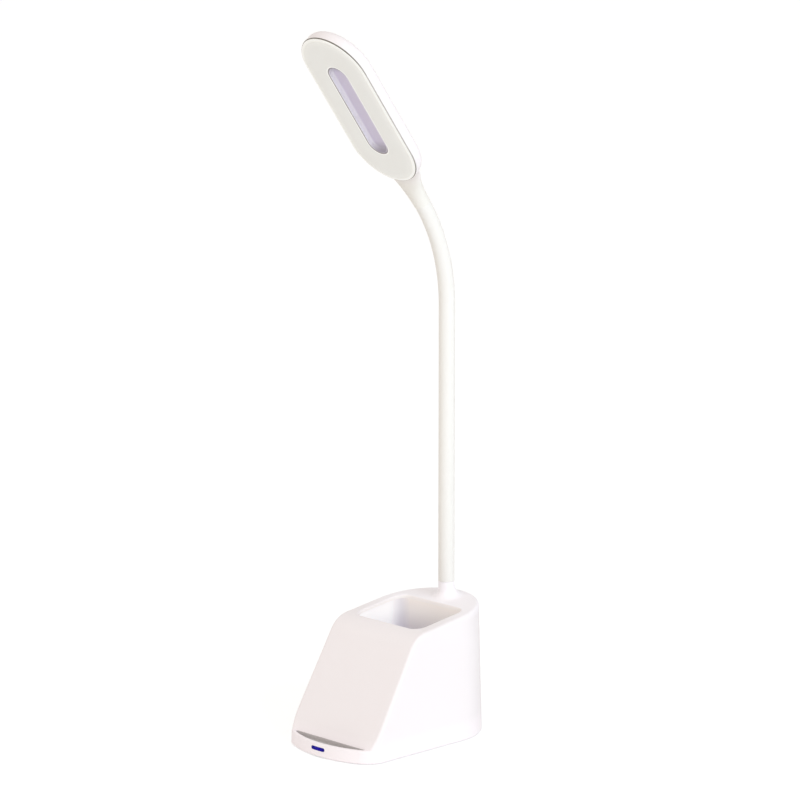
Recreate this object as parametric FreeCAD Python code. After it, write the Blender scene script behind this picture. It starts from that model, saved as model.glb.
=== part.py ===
import FreeCAD, Part
import os
from math import sin, cos, tan, atan2, ceil, degrees, radians, sqrt, pi

V = FreeCAD.Vector

# ---------------------------------------------------------------- base body
BASE_HALF_WIDTH = 37.8        # half the base's width at the desk
BASE_FRONT = 62.75            # from the origin forward to the lip's foot
WALL_DRAFT = 1.5              # degrees every outer wall leans in as it rises
FRONT_ARC = 68.0              # plan radius of the bulged front
CORNER_ARC = 15.0             # plan radius of the two front corners
BACK_CENTRE = BASE_FRONT - BASE_HALF_WIDTH    # where the round back has its centre
SHELL_FOOT = 0.5              # the shell's lower edge stands this far off the desk
SHELL_WALL = 2.2
LIP_TOP = 9.0                 # height of the lip that holds a telephone
LIP_DEPTH = 11.25             # from the lip's foot back to the foot of the sloping panel
PANEL_FOOT = LIP_DEPTH - BASE_FRONT
PANEL_RUN = 37.9              # level depth that the panel climbs over
KNEE_Y = PANEL_FOOT + PANEL_RUN    # where panel and top would meet if the knee were sharp
KNEE_Z = 73.3
KNEE_RADIUS = 18.0
TOP_RISE = 7.5                # degrees the top climbs towards the back
EDGE_ROUND = 2.0              # rounding of the base's long edges
LIP_ROUND = 0.8
FOOT_BEVEL = 0.8
GROOVE_FLOOR = 5.6
GROOVE_ROOF = 1.2             # plastic under the groove
LIP_WALL = 2.1
GROOVE_END = 1.6              # width left at each end of the groove
GROOVE_CORNER = 1.0
PAD_THICK = 0.8               # soft liner of the groove
PAD_DROP = 0.3                # its upper edge below the lip's height

# ---------------------------------------------------------------- pen cup
CUP_MARGIN = 9.9              # from the base's side to the cup's hollow
CUP_HALF_WIDTH = BASE_HALF_WIDTH - CUP_MARGIN
CUP_SETBACK = 8.2             # from the sharp knee to the cup's hollow
CUP_FRONT = KNEE_Y + CUP_SETBACK
CUP_DEPTH = 41.4
CUP_BACK = CUP_FRONT + CUP_DEPTH
CUP_CORNER = 7.0
CUP_FLOOR = 8.2
CUP_WALL = 1.6
CUP_EDGE_ROUND = 0.8

# ---------------------------------------------------------------- neck
NECK_INSET = 15.75            # from the base's back to the neck's axis
NECK_Y = BASE_FRONT - NECK_INSET
NECK_ROOT = KNEE_Z + (NECK_Y - KNEE_Y) * tan(radians(TOP_RISE))    # where the axis meets the top
NECK_RADIUS = 5.0
SEAM_RISE = 9.7               # from the neck's root up to where the soft sleeve starts
SEAM_HEIGHT = NECK_ROOT + SEAM_RISE
FLARE_ROUND = 6.5             # concave blend from the top into the neck
NECK_STRAIGHT = 173.1         # upright length of the sleeve
BEND_START = SEAM_HEIGHT + NECK_STRAIGHT
BEND_RADIUS = 110.5
BEND_ANGLE = 36.3             # degrees from vertical at the head
STATIONS = 8                  # places where the neck model bends
HOSE_RADIUS = 3.25
HOSE_BORE = 2.2
HOSE_GAP = 3.2                # bare length left in the hose at each bend station
SLEEVE_CLEARANCE = 0.35
SLEEVE_GAP = 0.4              # fine groove left at both ends of the sleeve
NECK_STEP = 7.6               # longest straight length the bent neck is made of
FLAT_WIDTH = 2.6              # flat two-core lead
FLAT_THICK = 1.2
LEAD_RADIUS = 0.6             # single leads
LEAD_ROOM = 2.6               # a lead's middle beside the pen cup

# ---------------------------------------------------------------- head
HEAD_HALF_LENGTH = 56.5
HEAD_HALF_WIDTH = 25.1
HEAD_SOCKET = 24.0            # from the neck's end to the ring's foot
HEAD_CENTRE = HEAD_SOCKET + HEAD_HALF_LENGTH
SEAM_DEPTH = 5.7              # the housing's rim stands this far in front of the neck axis
HEAD_BACK = 3.0               # its back stands this far behind the neck axis
HEAD_BACK_ROUND = 4.5
HEAD_WALL = 1.8
SEAM_GAP = 0.35
FRAME_PROUD = 1.2             # the white frame's face in front of the housing's rim
FRAME_SHRINK = 0.2            # its outline inside the housing's
FRAME_WIDTH = 2.2
FRAME_LEDGE = 0.9             # how far it reaches behind the diffuser
FRAME_BEVEL = 0.3
DIFFUSER_WALL = 1.3
DIFFUSER_SINK = 0.1           # the diffuser's face behind the frame's
TONGUE_DEPTH = 2.2
FIT = 0.3                     # clearance between pieces that slide together
SLOT_HALF_LENGTH = HEAD_HALF_LENGTH - 22.6
SLOT_HALF_WIDTH = HEAD_HALF_WIDTH - 17.5
SLOT_BEVEL = 0.4
TRAY_RIM = 0.7
TRAY_DEPTH = 3.2
TRAY_FLANGE = 2.5
TRAY_ROUND = 2.0
SOCKET_MOUTH = 5.2            # radius of the head's socket at the neck's end
SOCKET_BORE = 4.0
LED_COUNT = 24
LED_SIZE = 2.8
LED_HEIGHT = 0.8
LED_RADIUS = HEAD_HALF_WIDTH - 9.3    # the row of LEDs from the ring's centre line
LED_BOARD_MARGIN = 3.9        # from the head's outline to the LED board
LED_BOARD_FRONT = -0.4        # the LED board's lit face, behind the neck axis
LED_BOARD_THICK = 1.0
HEAD_SCREW_X = HEAD_HALF_WIDTH - 14.8
HEAD_SCREW_REACH = HEAD_HALF_LENGTH - HEAD_HALF_WIDTH + 1.4
HEAD_POST = 2.6
HEAD_SCREW = 1.0
HEAD_SCREW_HEAD = 2.2
FERRULE_LENGTH = 15.0

# ---------------------------------------------------------------- fittings in the base
COVER_THICK = 2.0
COVER_BOTTOM = 0.8
MAT_INSET = 4.0
SCREW_RADIUS = 1.5
SCREW_HEAD = 2.8
SCREW_HEAD_HEIGHT = 1.2
SCREW_TOP = 10.0              # how high the cover screws reach
POST_RADIUS = 3.2
POST_X_FRONT = BASE_HALF_WIDTH - 11.8
POST_Y_FRONT = PANEL_FOOT + 8.4
POST_X_BACK = BASE_HALF_WIDTH - 14.8
POST_Y_BACK = BASE_FRONT - 17.25
BOARD_THICK = 1.2
CELL_RADIUS = 9.2
CELL_MARGIN = 5.2             # from the base's side to the cell's end
CELL_HALF = BASE_HALF_WIDTH - CELL_MARGIN
CELL_Y = PANEL_FOOT + 24.9
CELL_Z = 13.4
CELL_TAB = 0.3
TAB_HALF = 3.0
TAB_DROP = 4.0                # the tab's foot below the cell's middle
TAB_RISE = 12.0               # and its tip above it
SADDLE_X = CELL_HALF - 13.6   # each cradle saddle's distance from the middle
SADDLE_THICK = 4.0
BALLAST_THICK = 3.0
BALLAST_HALF = BASE_HALF_WIDTH - 12.8
BALLAST_FRONT = CELL_Y + 14.0
BALLAST_BACK = BASE_FRONT - 24.75
FENCE = 2.0                   # rib round the ballast
LENS_WIDTH = 11.4
LENS_HEIGHT = 2.2
LENS_Z = 5.6
LENS_LEG = 0.8
LENS_BACK = 1.55 - BASE_FRONT    # rear face of the lens's upright leg
LENS_BOTTOM = 4.4
LENS_FIT = 0.1
BOSS_RADIUS = 6.0
BOSS_BOTTOM = NECK_ROOT - 9.3
BUSH_RADIUS = 4.4
BUSH_TOP = NECK_ROOT + 2.7
BUSH_BOTTOM = NECK_ROOT - 18.3
NUT_HALF = 5.5                # half the nut's width across its flats
NUT_THICK = 4.0
WASHER_THICK = 0.8
USB_HALF_WIDTH = 4.5
USB_HEIGHT = 3.2
USB_DEPTH = 8.4
USB_RECESS = 1.0
USB_BOARD_Z = 4.8
BOARD_HALF = 17.0             # half width of the control board
BOARD_LOW = 32.0
BOARD_HIGH = 58.0
BOARD_GAP = 4.2               # from the pen cup's wall to the control board
BOARD_FACE = CUP_FRONT - CUP_WALL - BOARD_GAP
BOARD_PEG = 2.6
BOARD_SCREW = 1.0
PLUG_X_RIGHT = 12.0
PLUG_HALF = 2.5
PLUG_DEPTH = 2.8
TOUCH_HALF = 16.0
TOUCH_BOARD = 0.8             # thickness of the touch board
TOUCH_BACK = PANEL_FOOT + 4.4    # rear edge of the touch board
TOUCH_PAD_HALF = 8.0
TOUCH_PAD_DEPTH = 4.5
TOUCH_PAD_FRONT = 4.75 - BASE_FRONT
FOIL = 0.3
ABOVE_ALL = SEAM_HEIGHT + 10     # a height clear above the base, where cutting forms end

os.makedirs("parts", exist_ok=True)


def save(name, shape):
    """Write one piece as its own STEP file."""
    shape.exportStep("parts/" + name + ".step")
    print(name, "solids", len(shape.Solids), "volume", round(shape.Volume, 1))


def box(x0, x1, y0, y1, z0, z1):
    """Block between two corners."""
    return Part.makeBox(x1 - x0, y1 - y0, z1 - z0, V(x0, y0, z0))


def rod(radius, z0, z1, x=0.0, y=0.0):
    """Upright cylinder."""
    return Part.makeCylinder(radius, z1 - z0, V(x, y, z0))


def tube(outer, inner, z0, z1, x=0.0, y=0.0):
    """Upright ring-shaped cylinder."""
    return rod(outer, z0, z1, x, y).cut(rod(inner, z0, z1, x, y))


def fused(shapes):
    """One clean solid from several overlapping ones."""
    first = shapes[0]
    return first.fuse(list(shapes[1:])).removeSplitter()


def arc_between(centre, radius, a0, a1, z):
    """Arc in a level plane from angle a0 to a1, in degrees."""
    mid = (a0 + a1) / 2
    points = [V(centre[0] + radius * cos(radians(a)), centre[1] + radius * sin(radians(a)), z)
              for a in (a0, mid, a1)]
    return Part.Arc(points[0], points[1], points[2]).toShape()


def corner_centre():
    """Plan centre of the right front corner arc."""
    across = BASE_HALF_WIDTH - CORNER_ARC
    reach = sqrt((FRONT_ARC - CORNER_ARC) ** 2 - across ** 2)
    return across, -BASE_FRONT + FRONT_ARC - reach


def plan_wire(inset, z):
    """The base's plan outline, drafted to height z and moved in by inset."""
    d = inset + z * tan(radians(WALL_DRAFT))
    half = BASE_HALF_WIDTH - d
    cx, cy = corner_centre()
    fy = -BASE_FRONT + FRONT_ARC
    turn = degrees(atan2(cy - fy, cx))
    edges = [
        arc_between((0, fy), FRONT_ARC - d, -180 - turn, turn, z),
        arc_between((cx, cy), CORNER_ARC - d, turn, 0, z),
        Part.makeLine(V(half, cy, z), V(half, BACK_CENTRE, z)),
        arc_between((0, BACK_CENTRE), half, 0, 180, z),
        Part.makeLine(V(-half, BACK_CENTRE, z), V(-half, cy, z)),
        arc_between((-cx, cy), CORNER_ARC - d, -180, -180 - turn, z),
    ]
    return Part.Wire(edges)


def plan_block(inset, z0, z1):
    """Solid with the base's drafted plan outline between two heights."""
    return Part.makeLoft([plan_wire(inset, z0), plan_wire(inset, z1)], True, True)


def slope():
    """Angle of the panel above level, in radians."""
    return atan2(KNEE_Z - LIP_TOP, KNEE_Y - PANEL_FOOT)


def top_height(y, inset=0.0):
    """Height of the climbing top at depth y, moved down square to itself by inset."""
    rise = radians(TOP_RISE)
    return KNEE_Z + (y - KNEE_Y) * tan(rise) - inset / cos(rise)


def panel_y(z, inset=0.0):
    """Depth of the sloping panel at height z, moved inwards by inset."""
    return PANEL_FOOT + (z - LIP_TOP) / tan(slope()) + inset / sin(slope())


def side_prism(inset, ledge, floor):
    """The side profile (ledge, panel, rounded knee, top) as a wide prism."""
    a, r = slope(), radians(TOP_RISE)
    turn = a - r
    radius = KNEE_RADIUS - inset
    back = BACK_CENTRE + BASE_HALF_WIDTH + 10
    front = -BASE_FRONT - 10
    # where the two inset lines cross
    y = PANEL_FOOT + inset / sin(a)
    knee_y = ((KNEE_Z - inset / cos(r) - KNEE_Y * tan(r)) - (LIP_TOP - y * tan(a))) / (tan(a) - tan(r))
    knee_z = LIP_TOP + (knee_y - y) * tan(a)
    reach = radius * tan(turn / 2)
    start = V(0, knee_y - reach * cos(a), knee_z - reach * sin(a))
    end = V(0, knee_y + reach * cos(r), knee_z + reach * sin(r))
    centre = start + V(0, sin(a), -cos(a)) * radius
    middle = centre + V(0, -sin((a + r) / 2), cos((a + r) / 2)) * radius
    corners = [V(0, panel_y(ledge, inset), ledge), start]
    if ledge > floor:
        corners = [V(0, front, floor), V(0, front, ledge)] + corners
    top_back = V(0, back, top_height(back, inset))
    edges = [Part.makeLine(p, q) for p, q in zip(corners[:-1], corners[1:])]
    edges.append(Part.Arc(start, middle, end).toShape())
    edges.append(Part.makeLine(end, top_back))
    edges.append(Part.makeLine(top_back, V(0, back, floor)))
    edges.append(Part.makeLine(V(0, back, floor), corners[0]))
    face = Part.Face(Part.Wire(edges))
    face.translate(V(-2 * BASE_HALF_WIDTH, 0, 0))
    return face.extrude(V(4 * BASE_HALF_WIDTH, 0, 0))


def steep(face, point):
    """True where a face stands nearly upright."""
    u, v = face.Surface.parameter(point)
    return abs(face.normalAt(u, v).z) < 0.15


def rim_edges(body, low, high):
    """Edges between upright walls and the faces above them, away from the neck."""
    found = []
    for edge in body.Edges:
        p = edge.valueAt((edge.FirstParameter + edge.LastParameter) / 2)
        faces = body.ancestorsOfType(edge, Part.Face)
        clear = abs(p.x) + abs(p.y - NECK_Y) > NECK_RADIUS + FLARE_ROUND
        if len(faces) == 2 and clear and low < p.z < high:
            if steep(faces[0], p) != steep(faces[1], p):
                found.append(edge)
    return found


def edge_is_root(edge):
    """True for the edge where the neck meets the climbing top."""
    c = edge.CenterOfMass
    near = abs(c.x) < 1 and abs(c.y - NECK_Y) < 1 and abs(c.z - NECK_ROOT) < 1
    return near and edge.BoundBox.XLength < 2 * NECK_RADIUS + 1


def base_outer():
    """Outer form of the base: wedge body, flared neck foot and the lip in front."""
    block = plan_block(0, SHELL_FOOT, ABOVE_ALL)
    body = block.common(side_prism(0, SHELL_FOOT, SHELL_FOOT))
    body = body.fuse(rod(NECK_RADIUS, KNEE_Z - 5, SEAM_HEIGHT, 0, NECK_Y)).removeSplitter()
    body = body.makeFillet(FLARE_ROUND, [e for e in body.Edges if edge_is_root(e)])
    body = body.makeFillet(EDGE_ROUND, rim_edges(body, SHELL_FOOT + 1, SEAM_HEIGHT))
    lip = plan_block(0, SHELL_FOOT, LIP_TOP)
    lip = lip.makeFillet(LIP_ROUND, rim_edges(lip, LIP_TOP - 1, LIP_TOP + 1))
    body = body.fuse(lip).removeSplitter()
    return body.makeChamfer(FOOT_BEVEL, rim_edges(body, 0, SHELL_FOOT + 0.1))


def cavity():
    """Hollow of the base, one wall inside its outer form and open at the desk."""
    roof = GROOVE_FLOOR - GROOVE_ROOF
    hollow = plan_block(SHELL_WALL, 0, ABOVE_ALL).common(side_prism(SHELL_WALL, roof, 0))
    behind = PANEL_FOOT + SHELL_WALL
    return hollow.cut(box(-BASE_HALF_WIDTH, BASE_HALF_WIDTH, -BASE_FRONT, behind, roof, LIP_TOP + 3))


def groove_half():
    """Half the groove's length: its ends stop where the lip's wall leaves the named width."""
    cx, cy = corner_centre()
    fy = -BASE_FRONT + FRONT_ARC
    inset = LIP_WALL + LIP_TOP * tan(radians(WALL_DRAFT))
    y = PANEL_FOOT - GROOVE_END
    meeting = fy + (cy - fy) * (FRONT_ARC - inset) / (FRONT_ARC - CORNER_ARC)
    if y < meeting:    # the ends lie on the bulged front, not on its corners
        return sqrt((FRONT_ARC - inset) ** 2 - (y - fy) ** 2)
    return cx + sqrt((CORNER_ARC - inset) ** 2 - (y - cy) ** 2)


def groove():
    """D-shaped pocket between the lip and the foot of the panel."""
    outline = plan_block(LIP_WALL, GROOVE_FLOOR, LIP_TOP + 3)
    half = groove_half()
    front = box(-half, half, -BASE_FRONT, PANEL_FOOT, GROOVE_FLOOR, LIP_TOP + 3)
    pocket = outline.common(front)
    corners = []
    for edge in pocket.Edges:
        spot = edge.CenterOfMass
        if edge.BoundBox.ZLength > 1 and abs(spot.x) > half - 0.1 and spot.y > PANEL_FOOT - 0.1:
            corners.append(edge)
    return pocket.makeFillet(GROOVE_CORNER, corners)


def round_rect(x, y0, y1, r, z):
    """Level rectangle with rounded corners, as a wire."""
    quarter = [(x - r, y1 - r, 0), (-x + r, y1 - r, 90), (-x + r, y0 + r, 180), (x - r, y0 + r, 270)]
    arcs = [arc_between((cx, cy), r, a, a + 90, z) for cx, cy, a in quarter]
    edges = []
    for i, arc in enumerate(arcs):
        edges.append(arc)
        edges.append(Part.makeLine(arc.Vertexes[1].Point, arcs[(i + 1) % 4].Vertexes[0].Point))
    return Part.Wire(edges)


def cup_solid(grow, z0):
    """Block of the cup's hollow, grown outwards and starting at z0."""
    outline = round_rect(CUP_HALF_WIDTH + grow, CUP_FRONT - grow, CUP_BACK + grow, CUP_CORNER + grow, z0)
    return Part.Face(outline).extrude(V(0, 0, ABOVE_ALL - z0))


def cup_mouth_edges(body):
    """Edges round the cup's mouth on the outside of the base."""
    found = []
    for edge in body.Edges:
        p = edge.valueAt((edge.FirstParameter + edge.LastParameter) / 2)
        inside_x = abs(p.x) < CUP_HALF_WIDTH + 0.5
        inside_y = CUP_FRONT - 0.5 < p.y < CUP_BACK + 0.5
        if inside_x and inside_y and abs(p.z - outside_height(p.y)) < 0.05:
            found.append(edge)
    return found


def outside_height(y):
    """Height of the outer surface above depth y, knee rounding included."""
    turn = slope() - radians(TOP_RISE)
    reach = KNEE_RADIUS * tan(turn / 2)
    end_y = KNEE_Y + reach * cos(radians(TOP_RISE))
    if y >= end_y:
        return top_height(y)
    end_z = top_height(end_y)
    cy = end_y + KNEE_RADIUS * sin(radians(TOP_RISE))
    cz = end_z - KNEE_RADIUS * cos(radians(TOP_RISE))
    return cz + sqrt(KNEE_RADIUS ** 2 - (y - cy) ** 2)


def post_places():
    """Plan positions of the four screw posts."""
    return [(-POST_X_FRONT, POST_Y_FRONT), (POST_X_FRONT, POST_Y_FRONT),
            (-POST_X_BACK, POST_Y_BACK), (POST_X_BACK, POST_Y_BACK)]


def socket_window(grow, y0, y1):
    """Flat round-ended prism through the back wall for the charging socket."""
    half = USB_HALF_WIDTH + grow
    rise = USB_HEIGHT / 2 + grow
    z = USB_BOARD_Z + BOARD_THICK + USB_HEIGHT / 2
    block = box(-half + rise, half - rise, y0, y1, z - rise, z + rise)
    ends = [Part.makeCylinder(rise, y1 - y0, V(x, y0, z), V(0, 1, 0))
            for x in (rise - half, half - rise)]
    return fused([block] + ends)


def lens_pocket(grow):
    """Upright leg of the status light's lens, inside the lip."""
    half = LENS_WIDTH / 2 + grow
    return box(-half, half, LENS_BACK - LENS_LEG - grow, LENS_BACK + grow,
               LENS_BOTTOM, LENS_Z + LENS_HEIGHT / 2 + 0.1 + grow)


def lens_nose(grow):
    """Bar of the lens that shows on the front of the lip."""
    half = LENS_WIDTH / 2 + grow
    rise = LENS_HEIGHT / 2 + grow
    y0 = -BASE_FRONT - 2
    y1 = LENS_BACK - LENS_LEG / 2
    block = box(-half + rise, half - rise, y0, y1, LENS_Z - rise, LENS_Z + rise)
    ends = [Part.makeCylinder(rise, y1 - y0, V(x, y0, LENS_Z), V(0, 1, 0))
            for x in (rise - half, half - rise)]
    return fused([block] + ends)


def base_shell():
    """The whole moulded base: walls, panel, lip, groove, cup mouth and neck foot."""
    outer = base_outer()
    hollow = cavity()
    body = outer.cut(hollow).cut(groove())
    body = body.cut(cup_solid(0, CUP_FLOOR))
    body = body.makeFillet(CUP_EDGE_ROUND, cup_mouth_edges(body))
    boss = rod(BOSS_RADIUS, BOSS_BOTTOM, ABOVE_ALL, 0, NECK_Y).common(hollow)
    posts = [rod(POST_RADIUS, cover_top(), ABOVE_ALL, x, y).common(hollow)
             for x, y in post_places()]
    body = body.fuse([boss] + posts).removeSplitter()
    holes = [rod(SCREW_RADIUS, 0, SCREW_TOP, x, y) for x, y in post_places()]
    holes.append(rod(HOSE_RADIUS + FIT, BOSS_BOTTOM - 1, SEAM_HEIGHT + 1, 0, NECK_Y))
    holes.append(rod(BUSH_RADIUS, BOSS_BOTTOM - 1, BUSH_TOP, 0, NECK_Y))
    holes.append(socket_window(FIT, BACK_CENTRE, BASE_FRONT + 5))
    holes.append(lens_pocket(LENS_FIT))
    holes.append(lens_nose(LENS_FIT))
    half = LENS_WIDTH / 2 + LENS_FIT
    front = LENS_BACK - LENS_LEG - LENS_FIT
    holes.append(box(-half, half, front, LENS_BACK + 2, 0, GROOVE_FLOOR - GROOVE_ROOF))
    holes.append(box(-half, half, front, LENS_BACK + LENS_FIT, 0, LENS_BOTTOM + 1))
    return body.cut(holes)


def pen_cup():
    """Cup that hangs under the mouth, its rim shaped to the inside of the top."""
    outer = cup_solid(CUP_WALL, CUP_FLOOR - CUP_WALL).common(cavity())
    cup = outer.cut(cup_solid(0, CUP_FLOOR))
    face_y = CUP_FRONT - CUP_WALL / 2
    pegs = []
    for x, z in board_screw_places():
        pegs.append(Part.makeCylinder(BOARD_PEG, face_y - BOARD_FACE, V(x, BOARD_FACE, z), V(0, 1, 0)))
    cup = cup.fuse(pegs).removeSplitter()
    holes = [Part.makeCylinder(BOARD_SCREW, face_y - BOARD_FACE, V(x, BOARD_FACE - 0.01, z), V(0, 1, 0))
             for x, z in board_screw_places()]
    return cup.cut(holes)


def board_screw_places():
    """Positions of the two screws that hold the control board."""
    return [(-BOARD_HALF + 4, BOARD_LOW + 4), (BOARD_HALF - 4, BOARD_HIGH - 4)]


def cover_top():
    """Height of the bottom cover's upper face."""
    return COVER_BOTTOM + COVER_THICK


def bottom_cover():
    """Plate that closes the base, with battery saddles and bosses for the rear board."""
    plate = plan_block(SHELL_WALL + FIT, COVER_BOTTOM, cover_top())
    saddles = [box(side * SADDLE_X - SADDLE_THICK / 2, side * SADDLE_X + SADDLE_THICK / 2,
                   CELL_Y - CELL_RADIUS, CELL_Y + CELL_RADIUS, COVER_BOTTOM + 1, CELL_Z)
               for side in (-1, 1)]
    bosses = [rod(BOARD_PEG, COVER_BOTTOM + 1, USB_BOARD_Z, x, y) for x, y in usb_screw_places()]
    fence = box(-BALLAST_HALF - FENCE, BALLAST_HALF + FENCE, BALLAST_FRONT - FENCE, BALLAST_BACK + FENCE,
                COVER_BOTTOM + 1, cover_top() + BALLAST_THICK - 1)
    fence = fence.cut(box(-BALLAST_HALF - FIT, BALLAST_HALF + FIT, BALLAST_FRONT - FIT,
                          BALLAST_BACK + FIT, 0, BASE_FRONT))
    body = fused([plate, fence] + saddles + bosses)
    holes = [cell_block(0), lens_pocket(FIT).common(plate)]
    for x, y in post_places():
        holes.append(rod(SCREW_RADIUS + 0.2, 0, cover_top() + 1, x, y))
        holes.append(rod(SCREW_HEAD + 0.2, 0, COVER_BOTTOM + SCREW_HEAD_HEIGHT, x, y))
    for x, y in usb_screw_places():
        holes.append(rod(BOARD_SCREW, cover_top(), USB_BOARD_Z + 1, x, y))
    return body.cut(holes)


def cell_block(grow):
    """Cylinder of the battery cell, lying across the base."""
    half = CELL_HALF + grow
    return Part.makeCylinder(CELL_RADIUS + grow, 2 * half, V(-half, CELL_Y, CELL_Z), V(1, 0, 0))


def cover_screws():
    """Four pan-head screws from below."""
    screws = []
    for x, y in post_places():
        head = rod(SCREW_HEAD, COVER_BOTTOM, COVER_BOTTOM + SCREW_HEAD_HEIGHT, x, y)
        shank = rod(SCREW_RADIUS, COVER_BOTTOM, SCREW_TOP - 0.5, x, y)
        drive = box(x - SCREW_HEAD * 0.6, x + SCREW_HEAD * 0.6, y - 0.3, y + 0.3, 0, COVER_BOTTOM + 0.7)
        turned = drive.copy()
        turned.rotate(V(x, y, 0), V(0, 0, 1), 90)
        screws.append(head.fuse(shank).removeSplitter().cut([drive, turned]))
    return Part.makeCompound(screws)


def grip_mat():
    """Soft mat under the cover; the lamp stands on it."""
    return plan_block(SHELL_WALL + MAT_INSET, 0, COVER_BOTTOM)


def ballast_plate():
    """Steel weight inside the fence of the cover."""
    plate = box(-BALLAST_HALF, BALLAST_HALF, BALLAST_FRONT, BALLAST_BACK,
                cover_top(), cover_top() + BALLAST_THICK)
    uprights = [e for e in plate.Edges if e.BoundBox.ZLength > 1]
    return plate.makeFillet(3.0, uprights)


def battery_cell():
    """Rechargeable cell with its raised positive end."""
    body = cell_block(0)
    ends = [e for e in body.Edges if e.BoundBox.XLength < 0.1]
    return body.makeChamfer(0.8, ends)


def battery_tabs():
    """Metal strip across each end of the cell, bent up to its wire."""
    tabs = []
    for side in (-1, 1):
        x0 = side * CELL_HALF
        x1 = x0 + side * CELL_TAB
        tabs.append(box(min(x0, x1), max(x0, x1), CELL_Y - TAB_HALF, CELL_Y + TAB_HALF,
                        CELL_Z - TAB_DROP, CELL_Z + TAB_RISE))
    return Part.makeCompound(tabs)


def usb_screw_places():
    """Positions of the two screws of the rear board."""
    return [(-7.0, BASE_FRONT - 14), (7.0, BASE_FRONT - 14)]


def usb_board():
    """Small board behind the charging opening."""
    board = box(-10, 10, BASE_FRONT - 17, BASE_FRONT - 4.5, USB_BOARD_Z, USB_BOARD_Z + BOARD_THICK)
    return board.cut([rod(BOARD_SCREW + 0.1, 0, 10, x, y) for x, y in usb_screw_places()])


def usb_socket():
    """Round-ended metal socket with its contact tongue."""
    y1 = BASE_FRONT - USB_RECESS
    y0 = y1 - USB_DEPTH
    shell = socket_window(0, y0, y1).cut(socket_window(-0.3, y0 + 1, y1 + 1))
    z = USB_BOARD_Z + BOARD_THICK + USB_HEIGHT / 2
    tongue = box(-3.3, 3.3, y0 + 0.5, y1 - 0.8, z - 0.35, z + 0.35)
    return fused([shell, tongue])


def small_screws(places, face, direction, head_radius, head_height, radius, reach):
    """Small round-head screws set in along one direction."""
    screws = []
    for place in places:
        start = V(*place)
        head = Part.makeCylinder(head_radius, head_height, start, direction * -1)
        shank = Part.makeCylinder(radius, face + reach, start, direction)
        screws.append(fused([head, shank]))
    return Part.makeCompound(screws)


def usb_screws():
    """Screws of the rear board."""
    top = USB_BOARD_Z + BOARD_THICK
    places = [(x, y, top) for x, y in usb_screw_places()]
    return small_screws(places, BOARD_THICK, V(0, 0, -1), 1.8, 1.0, BOARD_SCREW, 1.5)


def control_board():
    """Main board, upright in front of the pen cup."""
    board = box(-BOARD_HALF, BOARD_HALF, BOARD_FACE - BOARD_THICK, BOARD_FACE, BOARD_LOW, BOARD_HIGH)
    holes = [Part.makeCylinder(BOARD_SCREW + 0.1, 5, V(x, BOARD_FACE - 3, z), V(0, 1, 0))
             for x, z in board_screw_places()]
    return board.cut(holes)


def board_screws():
    """Two screws of the main board."""
    face = BOARD_FACE - BOARD_THICK
    places = [(x, face, z) for x, z in board_screw_places()]
    return small_screws(places, BOARD_THICK, V(0, 1, 0), 1.8, 1.0, BOARD_SCREW, 2.0)


def board_parts():
    """Chips, coil and plug sockets soldered to the main board."""
    face = BOARD_FACE - BOARD_THICK
    middle = (BOARD_LOW + BOARD_HIGH) / 2
    chips = [box(-3, 3, face - 1.2, face, middle - 3, middle + 3),
             box(6, 10, face - 1.4, face, middle - 2, middle + 2),
             box(-12, -7, face - 2.6, face, middle - 2.5, middle + 2.5)]
    plugs = [box(x - PLUG_HALF, x + PLUG_HALF, face - PLUG_DEPTH, face, BOARD_LOW + 1, BOARD_LOW + 5)
             for x in (-4, 4, PLUG_X_RIGHT)]
    return Part.makeCompound(chips + plugs)


def touch_board():
    """Thin board under the groove that carries the status light."""
    top = cover_top()
    outline = plan_block(SHELL_WALL + FIT, top, top + TOUCH_BOARD)
    board = outline.common(box(-TOUCH_HALF, TOUCH_HALF, -BASE_FRONT, TOUCH_BACK, top, top + TOUCH_BOARD))
    half = LENS_WIDTH / 2 - 0.5
    nose = box(-half, half, LENS_BACK - LENS_LEG, LENS_BACK + 2, top, top + TOUCH_BOARD)
    return fused([board, nose])


def touch_pad():
    """Metal foil under the groove that senses a finger."""
    top = GROOVE_FLOOR - GROOVE_ROOF
    return box(-TOUCH_PAD_HALF, TOUCH_PAD_HALF, TOUCH_PAD_FRONT, TOUCH_PAD_FRONT + TOUCH_PAD_DEPTH,
               top - FOIL, top)


def status_led():
    """Blue light under the lens."""
    base = cover_top() + TOUCH_BOARD
    return box(-1.5, 1.5, LENS_BACK - LENS_LEG, LENS_BACK, base, base + 0.7)


def indicator_lens():
    """Clear piece that carries the blue light up to the front of the lip."""
    nose = lens_nose(0).common(base_outer())
    return fused([nose, lens_pocket(0)])


def groove_pad():
    """Soft liner on the floor and up the back of the groove."""
    top = LIP_TOP - PAD_DROP
    half = BASE_HALF_WIDTH
    floor = box(-half, half, -BASE_FRONT, PANEL_FOOT, GROOVE_FLOOR, GROOVE_FLOOR + PAD_THICK)
    back = box(-half, half, PANEL_FOOT - PAD_THICK, PANEL_FOOT, GROOVE_FLOOR, top)
    return groove().common(fused([floor, back]))


def neck_bush():
    """Threaded bush crimped on the lower end of the steel hose."""
    return tube(BUSH_RADIUS, HOSE_RADIUS, BUSH_BOTTOM, BUSH_TOP - 0.2, 0, NECK_Y)


def neck_washer():
    """Washer between the moulded boss and the nut."""
    return tube(BOSS_RADIUS - 0.2, BUSH_RADIUS, BOSS_BOTTOM - WASHER_THICK, BOSS_BOTTOM, 0, NECK_Y)


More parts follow.
